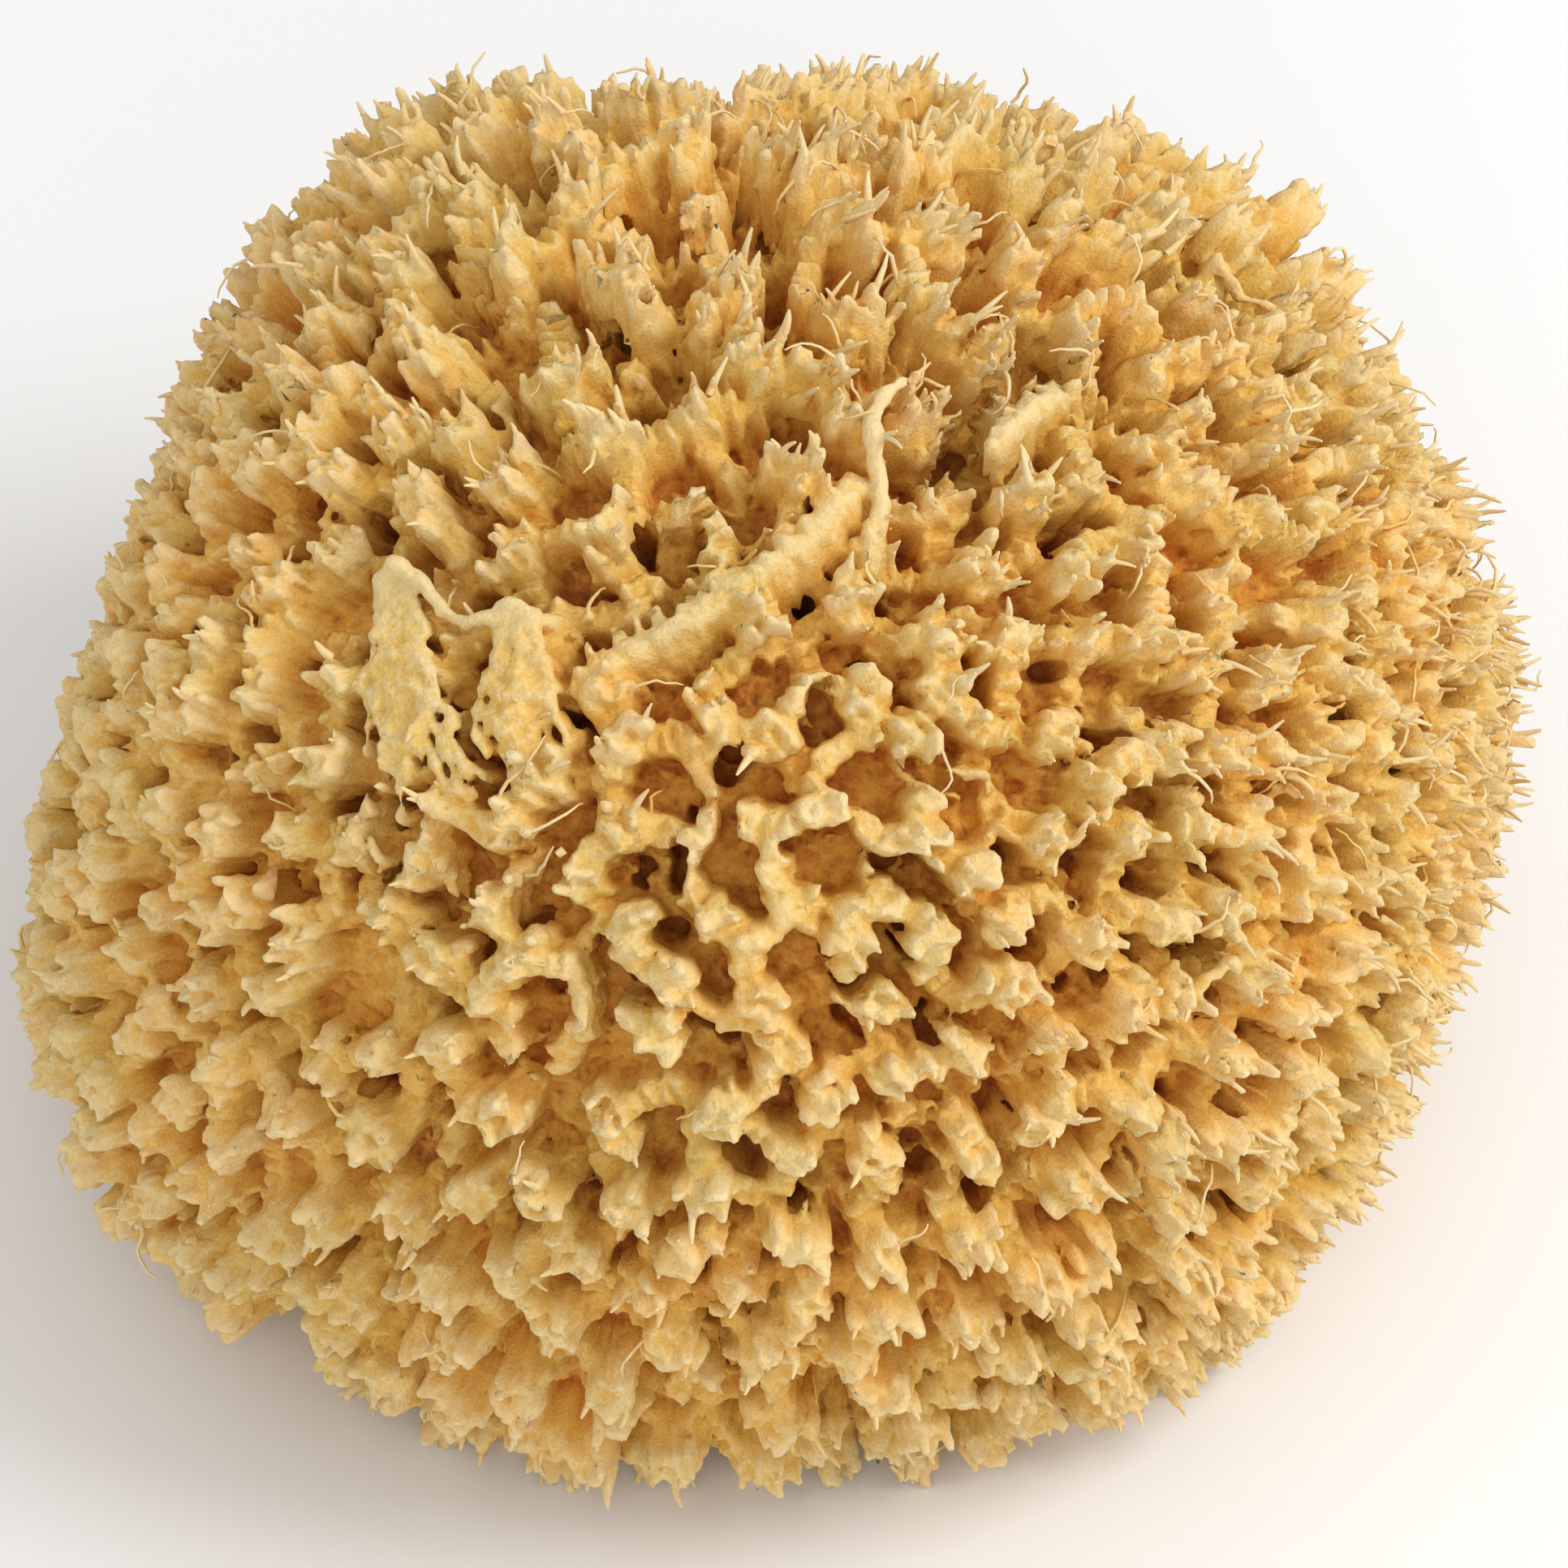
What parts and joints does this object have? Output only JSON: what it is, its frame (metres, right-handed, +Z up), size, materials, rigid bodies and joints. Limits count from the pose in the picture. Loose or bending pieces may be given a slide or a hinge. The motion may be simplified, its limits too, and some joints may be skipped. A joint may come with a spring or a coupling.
{
  "type": "sea sponge",
  "caption": "Round natural wool sea sponge with upright tufts joined by webs, deep pits between them, and a flat cut underneath to rest on.",
  "frame": {"origin": "middle of the footprint, on the surface that the flat cut rests on", "axes": "+Z up out of the flat cut, +X to the right as pictured, -Y towards the front"},
  "size_m": [0.1506, 0.1506, 0.1117],
  "materials": {
    "sponge": "matte golden straw fibre, paler at the tips and reddish brown in the pits"
  },
  "bodies": {
    "root": {"sponge": "sponge"}
  },
  "joints": []
}
